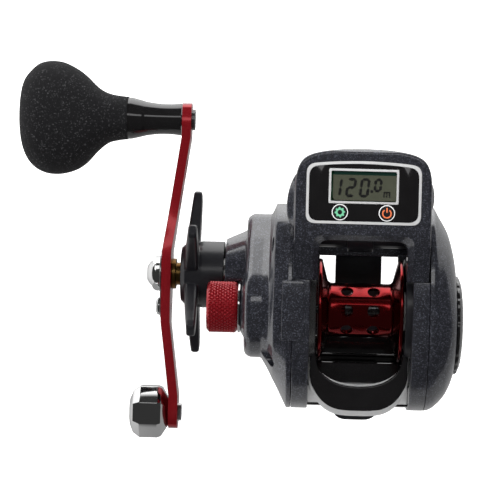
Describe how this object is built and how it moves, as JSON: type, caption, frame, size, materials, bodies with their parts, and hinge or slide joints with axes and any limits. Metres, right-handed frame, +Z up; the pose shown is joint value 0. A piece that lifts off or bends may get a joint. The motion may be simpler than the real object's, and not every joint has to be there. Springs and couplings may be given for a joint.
{
  "type": "baitcasting fishing reel",
  "caption": "Low-profile left-hand baitcasting reel with a battery line counter, red perforated spool, star drag, and a cranked arm with foam power grip and counterweight.",
  "frame": {"origin": "on the flat underside of the reel foot, below the middle of the spool", "axes": "+Z up, away from the rod; +Y towards the rod tip, the way the line leaves; crank on -X, brake dial on +X"},
  "size_m": [0.1452, 0.1235, 0.0705],
  "materials": {
    "body_shell": "charcoal with a fine metallic sparkle",
    "gloss_black": "gloss black",
    "satin_black": "satin black",
    "red_metal": "red anodised",
    "chrome_trim": "polished",
    "steel": "bare",
    "brass": "bare",
    "grip_foam": "matt black foam with fine specks",
    "silver_plastic": "pale silver",
    "display": "olive grey",
    "board": "green",
    "drag_fibre": "woven fibre"
  },
  "bodies": {
    "reel_body": {"frame": "body_shell", "gear_cover": "body_shell", "palm_cover": "body_shell", "counter_housing": "body_shell", "counter_panel": "gloss_black", "brake_cup": "satin_black", "worm_tube": "satin_black", "line_sensor": "satin_black", "battery_cap": "satin_black", "reel_foot": "satin_black", "foot_screw_rear": "steel", "foot_screw_front": "steel", "gear_cover_screw_1": "steel", "gear_cover_screw_2": "steel", "spool_bearing_gear_side": "steel", "spool_bearing_palm_side": "steel", "pinion_bearing": "steel", "one_way_bearing": "steel", "guide_bar": "steel", "counter_screw_gear_side": "steel", "counter_screw_palm_side": "steel", "coin_cell": "steel", "main_shaft_bushing": "brass", "lcd_frame": "silver_plastic", "lcd_display": "display", "circuit_board": "board"},
    "crank": {"main_shaft": "brass", "level_drive_gear": "satin_black", "drive_gear": "brass", "drag_washer": "drag_fibre", "clutch_sleeve": "steel", "crank_arm": "red_metal", "crank_nut": "chrome_trim", "nut_keeper": "steel", "keeper_screw": "steel", "grip_post": "steel", "counterweight": "chrome_trim", "counterweight_screw": "steel"},
    "star": {"star_drag": "satin_black"},
    "star_nut": {"star_nut": "brass"},
    "grip": {"grip_stem": "gloss_black", "power_grip": "grip_foam"},
    "spool": {"spool": "red_metal", "spool_shaft": "steel", "counter_magnet": "steel"},
    "yoke": {"clutch_yoke": "brass"},
    "pinion": {"pinion_gear": "brass"},
    "cam": {"clutch_cam": "steel"},
    "thumb_bar": {"thumb_bar": "gloss_black", "clutch_plate": "chrome_trim"},
    "worm": {"worm_shaft": "steel", "worm_gear": "silver_plastic"},
    "line_guide": {"line_guide": "silver_plastic", "pawl": "brass"},
    "cast_knob": {"cast_control_knob": "red_metal"},
    "shim": {"tension_shim": "brass"},
    "dial": {"brake_dial": "gloss_black"},
    "carrier": {"magnet_carrier": "silver_plastic"},
    "mode_key": {"mode_key": "silver_plastic"},
    "power_key": {"power_key": "silver_plastic"}
  },
  "joints": [
    {"name": "handle_spin", "type": "hinge", "parent": "reel_body", "child": "crank", "pos_m": [0, 0.01, 0.00744], "axis": [1, 0, 0], "continuous": true},
    {"name": "knob_spin", "type": "hinge", "parent": "crank", "child": "grip", "pos_m": [0, 0.0607, 0.00744], "axis": [1, 0, 0], "continuous": true},
    {"name": "star_turn", "type": "hinge", "parent": "crank", "child": "star", "pos_m": [0, 0.01, 0.00744], "axis": [1, 0, 0], "range_deg": [-180, 180]},
    {"name": "star_nut_slide", "type": "slide", "parent": "crank", "child": "star_nut", "axis": [1, 0, 0], "range_m": [-0.000375, 0.000375]},
    {"name": "spool_spin", "type": "hinge", "parent": "reel_body", "child": "spool", "pos_m": [0, 0, 0.024], "axis": [1, 0, 0], "continuous": true},
    {"name": "pinion_spin", "type": "hinge", "parent": "yoke", "child": "pinion", "pos_m": [0, 0, 0.024], "axis": [1, 0, 0], "continuous": true},
    {"name": "worm_spin", "type": "hinge", "parent": "reel_body", "child": "worm", "pos_m": [0, 0.02425, 0.01379], "axis": [1, 0, 0], "continuous": true},
    {"name": "line_guide_slide", "type": "slide", "parent": "reel_body", "child": "line_guide", "axis": [1, 0, 0], "range_m": [-0.0096, 0.0096]},
    {"name": "thumb_bar_press", "type": "slide", "parent": "reel_body", "child": "thumb_bar", "axis": [0, 0, -1], "range_m": [0, 0.004], "stiffness_N_per_m": 300, "springref_m": -0.003},
    {"name": "yoke_slide", "type": "slide", "parent": "reel_body", "child": "yoke", "axis": [-1, 0, 0], "range_m": [0, 0.0016]},
    {"name": "cam_turn", "type": "hinge", "parent": "reel_body", "child": "cam", "pos_m": [0, 0, 0.024], "axis": [1, 0, 0], "range_deg": [0, 13]},
    {"name": "cast_knob_turn", "type": "hinge", "parent": "reel_body", "child": "cast_knob", "pos_m": [0, 0, 0.024], "axis": [1, 0, 0], "range_deg": [-180, 180]},
    {"name": "shim_slide", "type": "slide", "parent": "reel_body", "child": "shim", "axis": [1, 0, 0], "range_m": [-0.000375, 0.000375]},
    {"name": "brake_dial_turn", "type": "hinge", "parent": "reel_body", "child": "dial", "pos_m": [0, -0.004, 0.023], "axis": [1, 0, 0], "range_deg": [0, 270]},
    {"name": "magnet_carrier_slide", "type": "slide", "parent": "reel_body", "child": "carrier", "axis": [-1, 0, 0], "range_m": [0, 0.0022]},
    {"name": "mode_key_press", "type": "slide", "parent": "reel_body", "child": "mode_key", "axis": [0, 0, -1], "range_m": [0, 0.0005], "stiffness_N_per_m": 400, "springref_m": -0.001},
    {"name": "power_key_press", "type": "slide", "parent": "reel_body", "child": "power_key", "axis": [0, 0, -1], "range_m": [0, 0.0005], "stiffness_N_per_m": 400, "springref_m": -0.001}
  ],
  "couplings": [
    {"joint": "spool_spin", "follows": "handle_spin", "ratio": -5.6364},
    {"joint": "pinion_spin", "follows": "handle_spin", "ratio": -5.6364},
    {"joint": "worm_spin", "follows": "handle_spin", "ratio": -1.6},
    {"joint": "yoke_slide", "follows": "thumb_bar_press", "ratio": 0.4},
    {"joint": "cam_turn", "follows": "thumb_bar_press", "rad_per_m": 56.7},
    {"joint": "star_nut_slide", "follows": "star_turn", "m_per_rad": 0.000119},
    {"joint": "shim_slide", "follows": "cast_knob_turn", "m_per_rad": 0.000119},
    {"joint": "magnet_carrier_slide", "follows": "brake_dial_turn", "m_per_rad": 0.000466}
  ]
}
